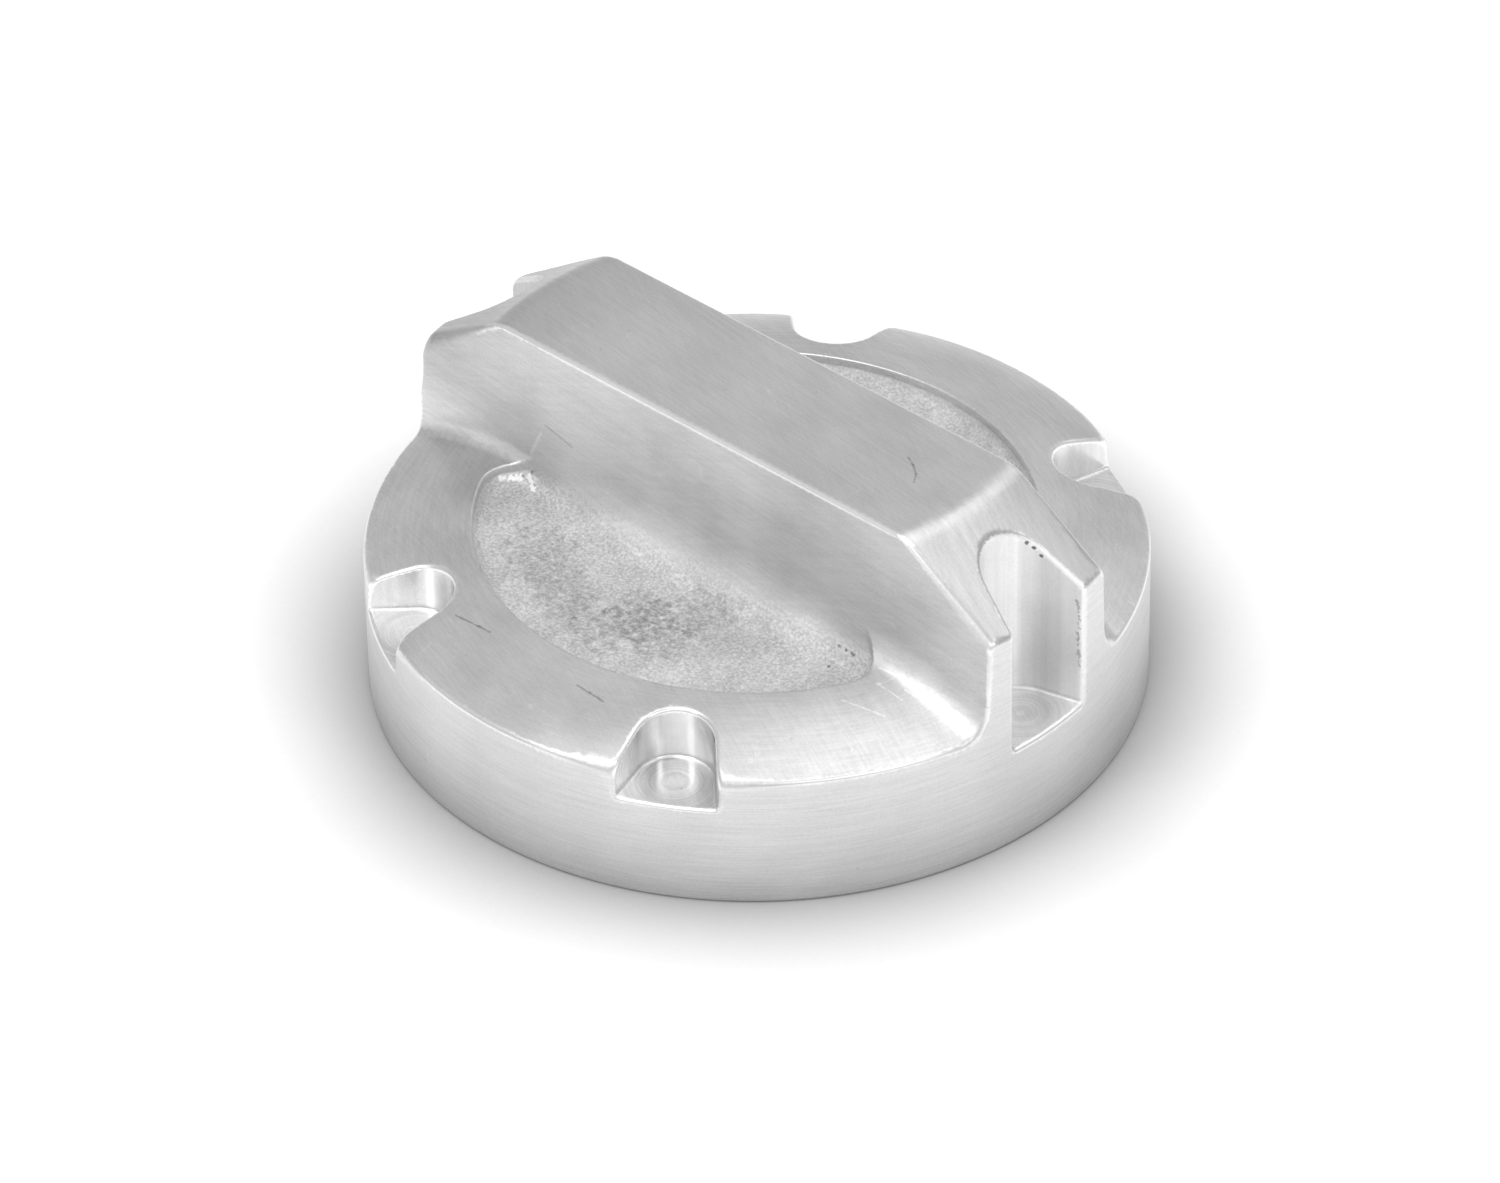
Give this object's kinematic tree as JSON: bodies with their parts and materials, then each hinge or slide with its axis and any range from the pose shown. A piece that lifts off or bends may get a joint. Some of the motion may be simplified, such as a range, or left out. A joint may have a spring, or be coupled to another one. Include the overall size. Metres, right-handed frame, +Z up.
{
  "type": "power steering reservoir cap",
  "caption": "Screw-on fluid reservoir cap machined from aluminium bar, with a raised grip bar across a crowned deck, finger notches round the shoulder and a seal ring inside.",
  "frame": {"origin": "on the thread's axis, in the plane of the bottom rim that the cap rests on", "axes": "+Z up along the thread's axis, from the open bottom to the top of the grip bar; X along the grip bar"},
  "size_m": [0.061, 0.061, 0.0254],
  "materials": {
    "machined_aluminium": "satin, brushed by fine machining and hand sanding, with bead-rough pocket floors",
    "seal_rubber": "matt black moulded ring"
  },
  "bodies": {
    "root": {"cap_body": "machined_aluminium", "seal_ring": "seal_rubber"}
  },
  "joints": []
}
